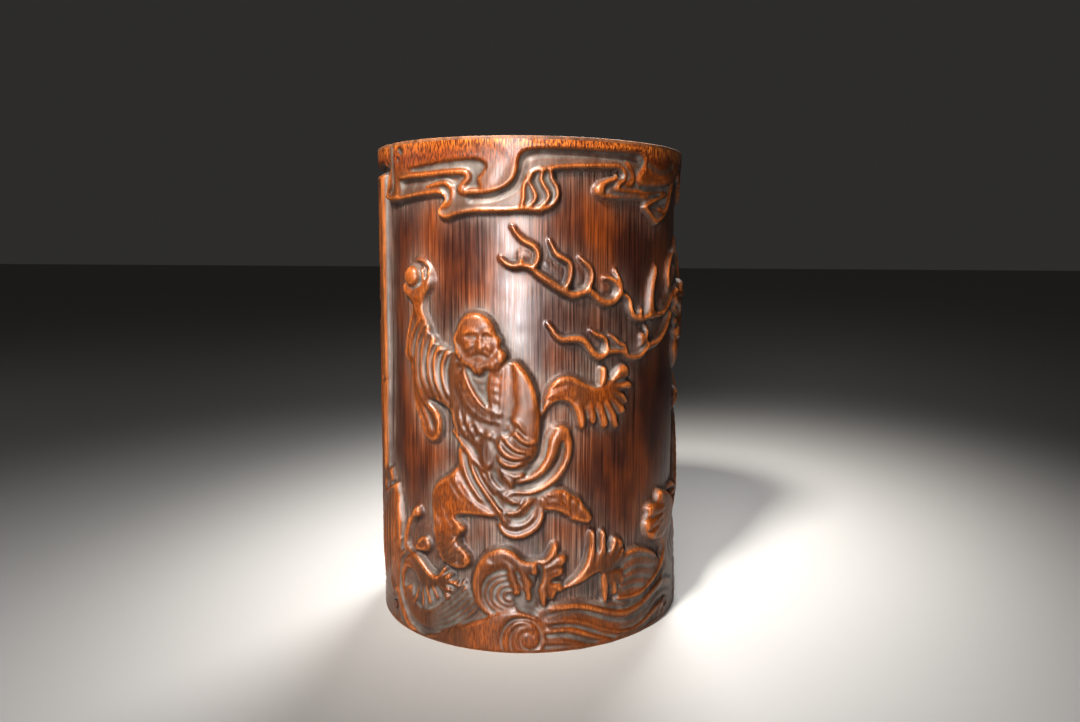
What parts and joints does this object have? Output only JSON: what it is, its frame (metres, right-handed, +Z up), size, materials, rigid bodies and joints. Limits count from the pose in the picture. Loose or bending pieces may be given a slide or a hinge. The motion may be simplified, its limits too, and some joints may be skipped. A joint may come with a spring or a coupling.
{
  "type": "brush holder pot",
  "caption": "Cylindrical bamboo brush pot carved in relief all round, open at the top, with a fitted wooden floor held by bamboo nails.",
  "frame": {"origin": "centre of the pot's foot, on the surface it stands on", "axes": "+Z up along the pot's axis, the carved front with the standing figure towards -Y, +X to the figure's left-hand side as the front is looked at from -Y"},
  "size_m": [0.098, 0.098, 0.145],
  "materials": {
    "carved_bamboo": "aged bamboo, hand-polished on the raised carving and darker in the recesses",
    "floor_wood": "dark oiled hardwood",
    "nail_bamboo": "split bamboo, cut flush"
  },
  "bodies": {
    "root": {"culm_wall": "carved_bamboo", "floor_board": "floor_wood", "floor_nail_1": "nail_bamboo", "floor_nail_2": "nail_bamboo", "floor_nail_3": "nail_bamboo"}
  },
  "joints": []
}
